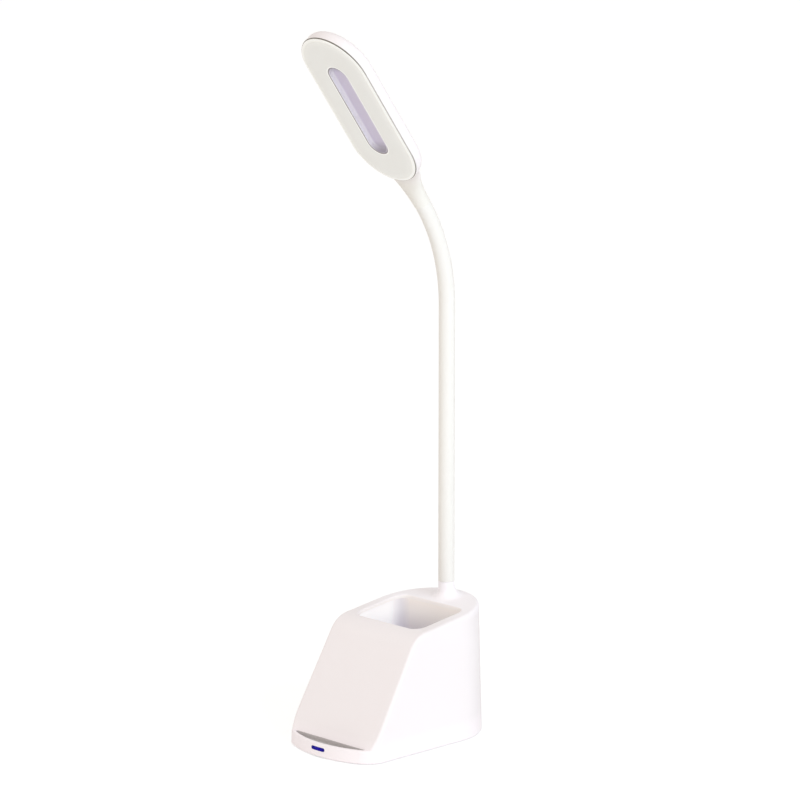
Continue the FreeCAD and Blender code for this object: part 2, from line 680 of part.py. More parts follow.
def neck_nut():
    """Six-sided lock nut."""
    corner = NUT_HALF / cos(radians(30))
    low = BOSS_BOTTOM - WASHER_THICK - NUT_THICK
    points = [V(corner * cos(radians(60 * k)), NECK_Y + corner * sin(radians(60 * k)), low) for k in range(7)]
    prism = Part.Face(Part.makePolygon(points)).extrude(V(0, 0, NUT_THICK))
    return prism.cut(rod(BUSH_RADIUS, BUSH_BOTTOM, KNEE_Z, 0, NECK_Y))


def straight_length():
    """Length of the sleeve below the bend."""
    return BEND_START - SEAM_HEIGHT


def neck_length():
    """Length of the sleeve from the seam to the head."""
    return straight_length() + BEND_RADIUS * radians(BEND_ANGLE)


def span():
    """Length of sleeve that belongs to one bend station."""
    return neck_length() / STATIONS


def neck_point(s):
    """Point on the neck's centre line and its direction, at length s from the seam."""
    if s <= straight_length():
        return V(0, NECK_Y, SEAM_HEIGHT + s), V(0, 0, 1)
    a = (s - straight_length()) / BEND_RADIUS
    spot = V(0, NECK_Y - BEND_RADIUS * (1 - cos(a)), BEND_START + BEND_RADIUS * sin(a))
    return spot, V(0, -sin(a), cos(a))


def neck_stops(s0, s1):
    """Lengths at which a bar along the neck needs a section."""
    straight = straight_length()
    if s1 <= straight:
        return [s0, s1]
    low = max(s0, straight)
    count = ceil((s1 - low) / NECK_STEP)
    stops = [low + (s1 - low) * i / count for i in range(count + 1)]
    return stops if s0 >= straight else [s0] + stops


def swept(s0, s1, radius):
    """Round bar along the neck between two lengths from the seam."""
    rings = []
    for s in neck_stops(s0, s1):
        spot, direction = neck_point(s)
        rings.append(Part.Wire(Part.makeCircle(radius, spot, direction)))
    return Part.makeLoft(rings, True, True)


def swept_flat(s0, s1, width, thick):
    """Flat bar along the neck, its width square to the plane of the bend."""
    sections = []
    for s in neck_stops(s0, s1):
        spot, direction = neck_point(s)
        side = V(width / 2, 0, 0)
        out = direction.cross(V(1, 0, 0)) * (thick / 2)
        corners = [spot + side + out, spot - side + out, spot - side - out, spot + side - out]
        sections.append(Part.makePolygon(corners + corners[:1]))
    return Part.makeLoft(sections, True, True)


def hose(s0, s1):
    """Length of steel hose, bored for the leads."""
    return swept(s0, s1, HOSE_RADIUS).cut(swept(s0 - 1, s1 + 1, HOSE_BORE))


def sleeve_span(k):
    """Soft sleeve over bend station k."""
    s0 = max(span() * (k - 1), SLEEVE_GAP)
    s1 = min(span() * k, neck_length() - SLEEVE_GAP)
    bore = HOSE_RADIUS + SLEEVE_CLEARANCE
    return swept(s0, s1, NECK_RADIUS).cut(swept(s0 - 0.5, s1 + 0.5, bore))


def lead_span(k):
    """The flat two-core lead inside bend station k."""
    s0 = span() * (k - 1)
    return swept_flat(s0, s0 + span(), FLAT_WIDTH, FLAT_THICK)


def station(k):
    """Length from the seam to bend station k."""
    return span() * (k - 0.5)


def round_lead(points):
    """Single round lead along straight lengths with mitred corners."""
    spots = [V(*p) for p in points]
    profile = Part.Wire(Part.makeCircle(LEAD_RADIUS, spots[0], spots[1] - spots[0]))
    return Part.makePolygon(spots).makePipeShell([profile], True, False, 1)


def flat_lead(points):
    """Flat two-core lead along straight lengths, its width across the lamp at the start."""
    spots = [V(*p) for p in points]
    side = V(FLAT_WIDTH / 2, 0, 0)
    out = (spots[1] - spots[0]).normalize().cross(V(1, 0, 0)).normalize() * (FLAT_THICK / 2)
    corners = [spots[0] + side + out, spots[0] - side + out, spots[0] - side - out, spots[0] + side - out]
    profile = Part.makePolygon(corners + corners[:1])
    return Part.makePolygon(spots).makePipeShell([profile], True, False, 1)


def plug_y():
    """Depth at which leads reach the plug sockets of the main board."""
    return BOARD_FACE - BOARD_THICK - 1.5


def round_the_cup(side, z):
    """Places past the rear corner of the pen cup and along its side wall, rising or falling with z."""
    x = CUP_HALF_WIDTH + CUP_WALL + LEAD_ROOM
    y = CUP_BACK + CUP_WALL + LEAD_ROOM
    return [(side * (x - 7.9), y - 1.2, z[0]), (side * (x - 2.7), y - 4.9, z[1]),
            (side * x, y - 12.4, z[2]), (side * x, 0, z[3]), (side * (x - 4.7), -11, z[4])]


def neck_tail_lead():
    """Flat lead from the seam down the hose and round the pen cup to the main board."""
    low = BUSH_BOTTOM - 3
    y = CUP_BACK + CUP_WALL + LEAD_ROOM
    start = [(0, NECK_Y, SEAM_HEIGHT), (0, NECK_Y, low), (3, NECK_Y - 2.5, low - 7), (14, y, low - 13)]
    middle = round_the_cup(1, [low - 14, low - 15, low - 16, low - 20, low - 22])
    end = [(PLUG_X_RIGHT + 8, plug_y(), low - 23), (PLUG_X_RIGHT + PLUG_HALF + 0.2, plug_y(), low - 23.4)]
    return flat_lead(start + middle + end)


def usb_lead():
    """Flat lead from the rear board along the left wall to the main board."""
    z = USB_BOARD_Z + BOARD_THICK + FLAT_THICK / 2
    y = CUP_BACK + CUP_WALL + LEAD_ROOM
    start = [(-4, BASE_FRONT - 16, z), (-4, BASE_FRONT - 18.5, z), (-14, y, z + 2)]
    middle = round_the_cup(-1, [z + 3, z + 4, z + 5, z + 9, z + 13])
    end = [(-12, plug_y(), z + 17), (-4, plug_y(), BOARD_LOW - 4), (-4, plug_y(), BOARD_LOW + 1)]
    return flat_lead(start + middle + end)


def battery_leads():
    """Leads from the cell's two tabs to the main board."""
    x = CELL_HALF - LEAD_RADIUS
    z = CELL_Z + 10
    y = plug_y()
    right = [(x, CELL_Y, z), (x - 0.8, CELL_Y + 0.4, z + 3), (x - 8, CELL_Y + 4, z + 5),
             (4.8, y, z + 6.5), (4.8, y, BOARD_LOW + 0.8)]
    left = [(-x, CELL_Y, z), (-x + 0.8, CELL_Y + 0.4, z + 3), (-x + 8, CELL_Y + 2, z + 5.6),
            (3.2, y, z + 6.5), (3.2, y, BOARD_LOW + 0.8)]
    return Part.makeCompound([round_lead(points) for points in (right, left)])


def touch_lead():
    """Flat lead from the touch board over the cell to the main board."""
    z = cover_top() + TOUCH_BOARD + FLAT_THICK / 2
    x, y = PLUG_X_RIGHT, plug_y()
    return flat_lead([(x, TOUCH_BACK - 1.5, z), (x, TOUCH_BACK + 1, z), (x, TOUCH_BACK + 4, z + 8),
                      (x, -36, z + 18), (x, CELL_Y, z + 20.7), (x, y, z + 21.7), (x, y, BOARD_LOW + 1)])


def placed_on_neck(shape):
    """Move a head piece from its upright build position to the end of the neck."""
    angle = radians(BEND_ANGLE)
    moved = shape.copy()
    moved.rotate(V(0, 0, 0), V(1, 0, 0), BEND_ANGLE)
    end_y = NECK_Y - BEND_RADIUS * (1 - cos(angle))
    end_z = BEND_START + BEND_RADIUS * sin(angle)
    moved.translate(V(0, end_y, end_z))
    return moved


def ring_wire(half_length, half_width, y):
    """Round-ended outline of the head in an upright plane."""
    c = HEAD_CENTRE
    reach = half_length - half_width
    top = V(0, y, c + half_length)
    foot = V(0, y, c - half_length)
    corners = [V(half_width, y, c - reach), V(half_width, y, c + reach),
               V(-half_width, y, c + reach), V(-half_width, y, c - reach)]
    return Part.Wire([Part.makeLine(corners[0], corners[1]),
                      Part.Arc(corners[1], top, corners[2]).toShape(),
                      Part.makeLine(corners[2], corners[3]),
                      Part.Arc(corners[3], foot, corners[0]).toShape()])


def ring_block(half_length, half_width, y0, y1):
    """Round-ended plate between two depths."""
    return Part.Face(ring_wire(half_length, half_width, y0)).extrude(V(0, y1 - y0, 0))


def inset_block(inset, y0, y1):
    """Round-ended plate inside the head's outline."""
    return ring_block(HEAD_HALF_LENGTH - inset, HEAD_HALF_WIDTH - inset, y0, y1)


def edges_at_depth(shape, y):
    """Edges of a plate that lie in the plane at depth y."""
    return [e for e in shape.Edges if abs(e.BoundBox.YMin - y) < 0.01 and abs(e.BoundBox.YMax - y) < 0.01]


def oval(z, half_x, half_y, y):
    """Level oval section of the head's socket."""
    curve = Part.Ellipse(V(0, y, z), half_x, half_y)
    return Part.Wire(curve.toShape())


def socket_form():
    """Flare that widens from the neck into the back of the head, well behind the frame."""
    near = HEAD_CENTRE - HEAD_HALF_LENGTH
    slim = HEAD_BACK + 0.3
    sections = [oval(0, SOCKET_MOUTH + 0.001, SOCKET_MOUTH, 0),
                oval(near * 0.3, SOCKET_MOUTH + 0.8, SOCKET_MOUTH, 0),
                oval(near * 0.62, SOCKET_MOUTH + 3.2, SOCKET_MOUTH - 0.2, -0.1),
                oval(near, SOCKET_MOUTH + 8.2, slim + 0.4, -0.5),
                oval(near + 14, SOCKET_MOUTH + 13.0, slim, -0.4)]
    return Part.makeLoft(sections, True, False)


def head_screw_places():
    """Positions of the four screws of the LED board."""
    return [(x * HEAD_SCREW_X, HEAD_CENTRE + z * HEAD_SCREW_REACH) for x in (-1, 1) for z in (-1, 1)]


def across(radius, y0, y1, x, z):
    """Round bar square to the head's face."""
    return Part.makeCylinder(radius, y1 - y0, V(x, y0, z), V(0, 1, 0))


def head_housing():
    """Back half of the head: dished ring with the flared socket for the neck."""
    dish = ring_block(HEAD_HALF_LENGTH, HEAD_HALF_WIDTH, -SEAM_DEPTH, HEAD_BACK)
    dish = dish.makeFillet(HEAD_BACK_ROUND, edges_at_depth(dish, HEAD_BACK))
    body = fused([dish, socket_form()])
    floor = HEAD_BACK - HEAD_WALL
    hollow = inset_block(HEAD_WALL, -SEAM_DEPTH - 1, floor)
    hollow = hollow.makeChamfer((HEAD_BACK_ROUND - HEAD_WALL) * 0.6, edges_at_depth(hollow, floor))
    bores = [rod(SOCKET_BORE, -1, FERRULE_LENGTH + 1), rod(HOSE_BORE, 0, HEAD_CENTRE - HEAD_HALF_LENGTH + 6)]
    body = body.cut([hollow] + bores)
    board_back = LED_BOARD_FRONT + LED_BOARD_THICK
    posts = [across(HEAD_POST, board_back, HEAD_BACK - 1, x, z) for x, z in head_screw_places()]
    body = body.fuse(posts).removeSplitter()
    holes = [across(HEAD_SCREW, board_back - 1, board_back + 1.6, x, z) for x, z in head_screw_places()]
    return body.cut(holes)


def face_depth():
    """Depth of the frame's face, in front of the neck axis."""
    return -SEAM_DEPTH - FRAME_PROUD


def head_frame():
    """White frame that clips into the housing and holds the diffuser's edge."""
    face = face_depth()
    rim = -SEAM_DEPTH - SEAM_GAP
    plate = inset_block(FRAME_SHRINK, face, rim)
    plate = plate.makeChamfer(FRAME_BEVEL, edges_at_depth(plate, face))
    tongue = inset_block(HEAD_WALL + FIT / 2, face + 0.3, rim + TONGUE_DEPTH)
    opening = FRAME_SHRINK + FRAME_WIDTH
    bed = inset_block(opening, face - 1, face + DIFFUSER_SINK + DIFFUSER_WALL)
    through = inset_block(opening + FRAME_LEDGE, face - 1, 0)
    return fused([plate, tongue]).cut([bed, through])


def diffuser():
    """Milky plate set into the frame, with a slot in the middle."""
    face = face_depth() + DIFFUSER_SINK
    plate = inset_block(FRAME_SHRINK + FRAME_WIDTH + 0.05, face, face + DIFFUSER_WALL)
    plate = plate.cut(ring_block(SLOT_HALF_LENGTH, SLOT_HALF_WIDTH, face - 1, 0))
    edges = [e for e in edges_at_depth(plate, face) if e.BoundBox.XMax < SLOT_HALF_WIDTH + 0.1]
    return plate.makeChamfer(SLOT_BEVEL, edges)


def centre_tray():
    """Shallow tray that lines the slot, with a flange behind the diffuser."""
    face = face_depth() + DIFFUSER_SINK
    front = face + 0.2
    floor = face + TRAY_DEPTH
    cup = ring_block(SLOT_HALF_LENGTH - 0.1, SLOT_HALF_WIDTH - 0.1, front, floor + 1.2)
    inner = ring_block(SLOT_HALF_LENGTH - TRAY_RIM, SLOT_HALF_WIDTH - TRAY_RIM, front - 1, floor)
    inner = inner.makeFillet(TRAY_ROUND, edges_at_depth(inner, floor))
    flange = ring_block(SLOT_HALF_LENGTH + TRAY_FLANGE, SLOT_HALF_WIDTH + TRAY_FLANGE,
                        face + DIFFUSER_WALL, face + DIFFUSER_WALL + 0.9)
    reach = SLOT_HALF_LENGTH - SLOT_HALF_WIDTH
    pegs = [across(2.0, floor, LED_BOARD_FRONT, 0, HEAD_CENTRE + side * reach) for side in (-1, 1)]
    return fused([cup, flange]).cut(inner).fuse(pegs).removeSplitter()


def led_board():
    """Round-ended metal-backed board behind the diffuser."""
    back = LED_BOARD_FRONT + LED_BOARD_THICK
    board = inset_block(LED_BOARD_MARGIN, LED_BOARD_FRONT, back)
    holes = [across(HEAD_SCREW + 0.15, LED_BOARD_FRONT - 1, back + 1, x, z) for x, z in head_screw_places()]
    return board.cut(holes)


def led_places():
    """Evenly spaced positions round the head."""
    straight = 2 * (HEAD_HALF_LENGTH - HEAD_HALF_WIDTH)
    bend = pi * LED_RADIUS
    pitch = 2 * (straight + bend) / LED_COUNT
    places = []
    for k in range(LED_COUNT):
        s = (k + 0.5) * pitch
        side = 1 if s < straight + bend else -1
        s = s % (straight + bend)
        if s < straight:
            x, z = LED_RADIUS, s - straight / 2
        else:
            angle = (s - straight) / LED_RADIUS
            x, z = LED_RADIUS * cos(angle), straight / 2 + LED_RADIUS * sin(angle)
        places.append((side * x, HEAD_CENTRE + side * z))
    return places


def leds():
    """Square LEDs on the front of the board."""
    h = LED_SIZE / 2
    return Part.makeCompound([box(x - h, x + h, LED_BOARD_FRONT - LED_HEIGHT, LED_BOARD_FRONT, z - h, z + h)
                              for x, z in led_places()])


def head_screws():
    """Four screws that hold the LED board to the housing."""
    places = [(x, LED_BOARD_FRONT, z) for x, z in head_screw_places()]
    return small_screws(places, LED_BOARD_THICK, V(0, 1, 0), HEAD_SCREW_HEAD, 1.0, HEAD_SCREW, 1.3)


def head_ferrule():
    """Metal sleeve crimped on the hose's upper end, pressed into the socket."""
    return tube(SOCKET_BORE - 0.05, HOSE_RADIUS, 0.3, FERRULE_LENGTH)


def head_lead():
    """Flat lead from the neck's end to the LED board."""
    near = HEAD_SOCKET + LED_BOARD_MARGIN
    y = LED_BOARD_FRONT - FLAT_THICK / 2
    return flat_lead([(0, 0, 0), (0, 0, near - 6), (0, y, near - 1), (0, y, near + 2.4)])


def hose_head():
    """Upper end of the hose, from the last bend station into the head."""
    bent = hose(station(STATIONS) + HOSE_GAP / 2, neck_length())
    straight = placed_on_neck(tube(HOSE_RADIUS, HOSE_BORE, 0, FERRULE_LENGTH))
    return fused([bent, straight])


BASE_PIECES = [base_shell, pen_cup, bottom_cover, cover_screws, grip_mat, ballast_plate,
               battery_cell, battery_tabs, usb_board, usb_socket, usb_screws, control_board,
               board_screws, board_parts, touch_board, touch_pad, status_led, indicator_lens,
               groove_pad, neck_bush, neck_washer, neck_nut, neck_tail_lead, usb_lead,
               battery_leads, touch_lead]
HEAD_PIECES = [head_housing, head_frame, diffuser, centre_tray, led_board, leds, head_screws,
               head_ferrule, head_lead]

for make in BASE_PIECES:
    save(make.__name__, make())
save("hose_base", hose(BUSH_BOTTOM - SEAM_HEIGHT, station(1) - HOSE_GAP / 2))
for k in range(1, STATIONS):
    save("hose_" + str(k), hose(station(k) + HOSE_GAP / 2, station(k + 1) - HOSE_GAP / 2))
save("hose_head", hose_head())
for k in range(1, STATIONS + 1):
    save("sleeve_" + str(k), sleeve_span(k))
    save("lead_" + str(k), lead_span(k))
for make in HEAD_PIECES:
    save(make.__name__, placed_on_neck(make()))
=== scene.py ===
# %% [markdown]
# # A gooseneck desk lamp that is also a pen cup and a telephone rest
#
# Three things give this lamp its look: a smooth moulded base with a sloping front, a slim neck
# in a soft white sleeve, and a round-ended light with a milky front. The rigid pieces arrive
# finished as solids. What is left is their surface, the soft shoulder of the light's front, and
# the two things that bend: the sleeve, and the twin lead that runs inside it.

# %% Load the frame of finished solids
from math import ceil, cos, pi, radians, sin

import bpy
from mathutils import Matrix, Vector


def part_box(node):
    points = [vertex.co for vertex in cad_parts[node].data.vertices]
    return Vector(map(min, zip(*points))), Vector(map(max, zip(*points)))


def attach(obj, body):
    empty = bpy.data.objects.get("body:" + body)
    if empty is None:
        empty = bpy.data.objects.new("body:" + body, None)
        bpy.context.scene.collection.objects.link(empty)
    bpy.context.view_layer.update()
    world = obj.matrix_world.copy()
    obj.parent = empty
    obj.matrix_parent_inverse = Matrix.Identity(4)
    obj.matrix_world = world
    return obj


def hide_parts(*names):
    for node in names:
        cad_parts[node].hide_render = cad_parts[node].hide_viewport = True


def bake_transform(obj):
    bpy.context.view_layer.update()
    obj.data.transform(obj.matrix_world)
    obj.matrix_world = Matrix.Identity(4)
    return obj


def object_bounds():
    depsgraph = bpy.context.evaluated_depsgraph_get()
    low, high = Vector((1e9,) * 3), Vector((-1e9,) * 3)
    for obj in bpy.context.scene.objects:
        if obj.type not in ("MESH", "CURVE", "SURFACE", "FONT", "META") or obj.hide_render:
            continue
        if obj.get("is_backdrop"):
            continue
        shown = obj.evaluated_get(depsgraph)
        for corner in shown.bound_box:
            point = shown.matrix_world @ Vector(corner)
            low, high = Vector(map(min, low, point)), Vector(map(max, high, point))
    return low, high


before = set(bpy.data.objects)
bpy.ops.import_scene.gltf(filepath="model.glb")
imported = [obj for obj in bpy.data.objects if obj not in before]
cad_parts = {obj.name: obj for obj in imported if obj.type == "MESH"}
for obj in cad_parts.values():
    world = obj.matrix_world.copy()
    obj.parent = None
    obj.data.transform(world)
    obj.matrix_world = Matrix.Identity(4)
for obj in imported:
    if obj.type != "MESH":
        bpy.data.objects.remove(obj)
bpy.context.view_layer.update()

# %% [markdown]
# ## Arithmetic on sockets
#
# A finish is a small sum: some noise, scaled, added to a base roughness. Drawn as nodes it is
# a dozen boxes. Here a `Wire` wraps one output socket and understands +, -, * and /, so
# the sum can be written as a sum, and `1 - mask` works as well as `mask - 1`. Every other node
# comes from `Wiring.node`, which takes the node's type, then its settings, then what goes into
# its sockets.

# %% A socket that can be added and multiplied
class Wire:
    """An output socket that takes part in arithmetic."""

    def __init__(self, wiring, socket):
        self.wiring = wiring
        self.socket = socket

    def __add__(self, other):
        return self.wiring.reckon("ADD", self, other)

    def __radd__(self, other):
        return self.wiring.reckon("ADD", other, self)

    def __sub__(self, other):
        return self.wiring.reckon("SUBTRACT", self, other)

    def __rsub__(self, other):
        return self.wiring.reckon("SUBTRACT", other, self)

    def __mul__(self, other):
        return self.wiring.reckon("MULTIPLY", self, other)

    def __rmul__(self, other):
        return self.wiring.reckon("MULTIPLY", other, self)

    def __truediv__(self, other):
        return self.wiring.reckon("DIVIDE", self, other)

    def __rtruediv__(self, other):
        return self.wiring.reckon("DIVIDE", other, self)


# %% A node tree that is built up in words
class Wiring:
    """A node tree whose nodes all come from its node method."""

    def __init__(self, tree, shader, output):
        self.tree = tree
        self.tree.nodes.clear()
        shown = self.node(shader)
        self.shader = shown.socket.node
        self.output = self.node(output)
        self.surface(shown)

    def surface(self, wire):
        """Show this shader."""
        self.feed(self.output.inputs["Surface"], wire)

    def node(self, kind, settings=None, inputs=None, output=0):
        """Add a node: its settings come first, then what its sockets take.

        It gives the wire from one output, or the node itself if it has none.
        """
        made = self.tree.nodes.new("ShaderNode" + kind)
        for name, value in (settings or {}).items():
            if name == "stops":
                self.fill_ramp(made.color_ramp, value)
            else:
                setattr(made, name, value)
        for name, value in (inputs or {}).items():
            self.feed(made.inputs[name], value)
        return Wire(self, made.outputs[output]) if made.outputs else made

    def reckon(self, operation, first, second):
        """A Math node on two values or wires."""
        return self.node("Math", {"operation": operation}, {0: first, 1: second})

    def blend(self, amount, first, second):
        """Colour that turns from first to second as amount goes from 0 to 1."""
        ends = {6: self.colour(first), 7: self.colour(second)}
        return self.node("Mix", {"data_type": "RGBA"}, {0: amount, **ends}, output=2)

    def colour(self, value):
        """A plain colour with its alpha, or a wire as it is."""
        return value if isinstance(value, Wire) else (*value, 1.0)

    def dot(self, first, second):
        """How far one vector goes along another."""
        ends = {0: first, 1: second}
        return self.node("VectorMath", {"operation": "DOT_PRODUCT"}, ends, output="Value")

    def ramp(self, value, *stops):
        """Colour picked by a value, from stops that are each a place and a colour."""
        return self.node("ValToRGB", {"stops": stops}, {0: value})

    def mask(self, value, *stops):
        """Level from 0 to 1 picked by a value, from stops that are each a place and a level."""
        return self.ramp(value, *((place, (level, level, level)) for place, level in stops))

    def fill_ramp(self, ramp, stops):
        """Give a colour ramp its stops, each a place and a colour."""
        while len(ramp.elements) < len(stops):
            ramp.elements.new(1.0)
        for element, (place, colour) in zip(ramp.elements, stops):
            element.position = place
            element.color = (*colour, 1.0)

    def feed(self, socket, value):
        """Link a wire into a socket, or set a plain value on it."""
        if isinstance(value, Wire):
            self.tree.links.new(value.socket, socket)
        else:
            socket.default_value = value


# %% A surface finish
class Finish(Wiring):
    """One material: a Principled shader whose sockets are fed with values and wires."""

    def __init__(self, name, **constants):
        self.material = bpy.data.materials.new(name)
        self.material.use_nodes = True
        super().__init__(self.material.node_tree, "BsdfPrincipled", "OutputMaterial")
        self.set(**constants)

    def set(self, **values):
        """Feed the shader: Base_Color stands for the socket named Base Color."""
        for name, value in values.items():
            self.feed(self.shader.inputs[name.replace("_", " ")], value)

    def place(self):
        """Where a point is on the lamp, in metres."""
        return self.node("TexCoord", output="Object")

    def along(self, axis):
        """A point's place along X, Y or Z, in metres."""
        return self.node("SeparateXYZ", {}, {0: self.place()}, output=axis)

    def grain(self, size, detail=2.0, rough=0.5):
        """Noise from 0 to 1 whose blobs are about so many metres across."""
        sockets = {"Scale": 1.0 / size, "Detail": detail, "Roughness": rough}
        return self.node("TexNoise", {}, {"Vector": self.place(), **sockets})

    def relief(self, height, depth, strength=1.0):
        """Bump from a height of 0 to 1 that stands for so many metres."""
        sockets = {"Height": height, "Distance": depth, "Strength": strength}
        return self.node("Bump", {}, sockets)


print("sums such as 1 - noise now build their own nodes")

# %% Give a finish to solids of the frame
def dress(material, *names):
    """Put one material on the named solids."""
    for name in names:
        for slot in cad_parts[name].material_slots:
            slot.material = material
    print(material.name, "on", len(names), "solids")


# %% [markdown]
# ## Moulded plastic
#
# The base and the back of the light are one kind of plastic, moulded in a tool whose walls were
# etched to a fine satin. Up close the skin is a field of grains about half a millimetre across.
# From arm's length it only softens the highlights. Two noises make it: the skin, for relief and
# gloss, and a slow drift in tone, as pigment never mixes perfectly. Noise in the lamp's own space
# needs no unwrapping and runs on unbroken from face to face.

# %% Shell and cover
SKIN = 0.00055
SKIN_DEPTH = 0.00003
DRIFT = 0.05
SHELL_TONES = (0.925, 0.868, 0.872), (0.905, 0.845, 0.848)
COVER_TONES = (0.76, 0.74, 0.72), (0.70, 0.68, 0.66)


def moulded(name, tones, roughness, texture, shading=None):
    """Moulded plastic with an etched skin and a slow drift in tone."""
    finish = Finish(name, Specular_IOR_Level=0.45)
    skin = finish.grain(SKIN, detail=3.0, rough=0.65)
    drift = finish.grain(DRIFT, detail=2.0)
    tone = finish.blend(drift, *tones)
    finish.set(
        Base_Color=shading(finish, tone) if shading else tone,
        Roughness=roughness + 0.12 * (skin - 0.5) + 0.05 * drift,
        Normal=finish.relief(skin, SKIN_DEPTH, texture),
    )
    return finish


base_plastic = moulded("shell_plastic", SHELL_TONES, 0.42, 0.35)
cover_plastic = moulded("cover_plastic", COVER_TONES, 0.5, 0.6)
dress(base_plastic.material, "base_shell")
dress(cover_plastic.material, "bottom_cover")

# %% [markdown]
# The light's back is the same plastic, and its front edge ends in a narrow seam round the milky
# front. Hardly any light gets into a seam, so shade is painted into the plastic there, darkest
# at the two round ends. Its flare, where the neck comes in, gets a warmer painted shade for the
# head's shadow on it. Both depend on where a point lies on the tilted head. Two directions give
# that: one up the head's front, and one straight into it.

# %% Measures of the light
HEAD_TILT = radians(36.3)
NECK_END = Vector((0, 0.02555, 0.3295))
UPWARD = Vector((0, -sin(HEAD_TILT), cos(HEAD_TILT)))
INWARD = Vector((0, cos(HEAD_TILT), sin(HEAD_TILT)))
FRONT_RISE = 0.0805
FRONT_CENTRE = NECK_END + FRONT_RISE * UPWARD
FRONT_STRAIGHT, FRONT_RADIUS = 0.0314, 0.0251
# Painted shade for the seam round the front: pale along its sides, dark at its ends.
SEAM_SHADOW_DARK, SEAM_SHADOW_PALE = (0.30, 0.27, 0.24), (0.70, 0.66, 0.63)


def past_neck(finish, way):
    """How far a point lies from the neck's end one way, in metres."""
    return finish.dot(finish.place(), way) - NECK_END.dot(way)


def up_front(finish):
    """How far up the front a point lies from its centre, in metres."""
    return finish.dot(finish.place(), UPWARD) - FRONT_CENTRE.dot(UPWARD)


def seam_painted_shade(finish):
    """Painted shade in the seam round the front: pale along its sides, dark at its ends."""
    to_end = finish.reckon("ABSOLUTE", up_front(finish), 0.0) / (FRONT_STRAIGHT + FRONT_RADIUS)
    return finish.blend(finish.mask(to_end, (0.5, 0), (0.85, 1)), SEAM_SHADOW_PALE, SEAM_SHADOW_DARK)


print("front centred", round(FRONT_CENTRE.z, 3), "m up")

# %% Back of the light
SEAM_RIM = -0.0057
SEAM_SHADE = 0.0004
FLARE_LENGTH = 0.034
# Painted shade: a warmer tone on the flare, for the head's shadow on it.
FLARE_SHADOW_TONE = (0.875, 0.84, 0.785)


def head_shading(finish, tone):
    """Painted shade: darker in the seam beside the front, and warmer on the flare for the head's
    shadow.
    """
    in_seam_shade = finish.mask((past_neck(finish, INWARD) - SEAM_RIM) / SEAM_SHADE, (0.3, 1), (1.0, 0))
    on_flare = finish.mask(past_neck(finish, UPWARD) / FLARE_LENGTH, (0.5, 1), (1.0, 0))
    return finish.blend(in_seam_shade, finish.blend(on_flare, tone, FLARE_SHADOW_TONE), seam_painted_shade(finish))


head_plastic = moulded("head_plastic", SHELL_TONES, 0.42, 0.35, head_shading)
dress(head_plastic.material, "head_housing")

# %% [markdown]
# The pen cup is a smooth, deep pocket. Little light gets down into it, and what does is cooler
# than the room, so that shade is painted into its colour by depth: as warm as the shell at the
# mouth, and lilac-grey some way down. The height of a point is the third number of its place, and
# a colour ramp turns it into the painted shade. A faint Emission Color paints light on the wall
# that faces the window, down its whole height, and on the other walls near the mouth.

# %% Pen cup
CUP_LOW, CUP_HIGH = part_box("pen_cup")
CUP_FADE = 0.030
CORNER_FADE = 0.014

cup_finish = Finish("cup_plastic", Specular_IOR_Level=0.45, Emission_Strength=1.0)
sunk = (CUP_HIGH[2] - cup_finish.along("Z")) / CUP_FADE
off_side = (cup_finish.along("X") - CUP_LOW[0]) / CORNER_FADE
off_back = (CUP_HIGH[1] - cup_finish.along("Y")) / CORNER_FADE
# Painted light as Emission Color: on the wall that faces the window, and near the mouth of the
# others.
window_wall_painted_light = cup_finish.ramp(off_back, (0.3, (0.0, 0.0, 0.035)), (0.9, (0.24, 0.245, 0.25)))
mouth_walls_painted_light = cup_finish.ramp(sunk, (0.0, (0.13, 0.118, 0.105)), (0.55, (0.0, 0.0, 0.0)))
beside = cup_finish.mask(off_side, (0.25, 0), (0.6, 1))
gloss = cup_finish.grain(SKIN, detail=3.0)
# Painted shade: the colour darkens and turns lilac-grey with depth.
cup_finish.set(
    Base_Color=cup_finish.ramp(
        sunk, (0.0, (0.88, 0.83, 0.80)), (0.25, (0.87, 0.83, 0.81)), (0.9, (0.76, 0.715, 0.76))
    ),
    Emission_Color=cup_finish.blend(beside, window_wall_painted_light, mouth_walls_painted_light),
    Roughness=0.34 + 0.1 * gloss,
    Normal=cup_finish.relief(gloss, SKIN_DEPTH, 0.15),
)
dress(cup_finish.material, "pen_cup")

# %% [markdown]
# The same faint painted light, as Emission Color, lies round the cup's mouth, over the base's top
# and along its lip. The top and the lip are found by their height. The mouth needs the distance
# from a rounded rectangle: take off the straight sides, and what is left of a point's place is
# its distance from the nearest corner's centre.

# %% Distance from a rounded rectangle
def box_distance(finish, across, along, half_across, half_along, radius):
    """How far a point lies outside a rounded rectangle."""
    beside = finish.reckon("ABSOLUTE", across, 0.0) - (half_across - radius)
    beyond = finish.reckon("ABSOLUTE", along, 0.0) - (half_along - radius)
    beside = finish.reckon("MAXIMUM", beside, 0.0)
    beyond = finish.reckon("MAXIMUM", beyond, 0.0)
    return finish.reckon("POWER", beside * beside + beyond * beyond, 0.5) - radius


# %% Mouth, top and lip of the base
CUP_WALL, CUP_DEPTH, CUP_CORNER = 0.0016, 0.0414, 0.0070
MOUTH_ROUND = 0.0008
# Painted light, given as Emission Color, round the mouth, over the top and along the lip.
MOUTH_PAINTED_LIGHT = (0.11, 0.105, 0.08)
TOP_HEIGHT = 0.0813
LIP_PAINTED_LIGHT, TOP_PAINTED_LIGHT, NO_GLOW = (0.045, 0.035, 0.045), (0.05, 0.06, 0.075), (0, 0, 0)

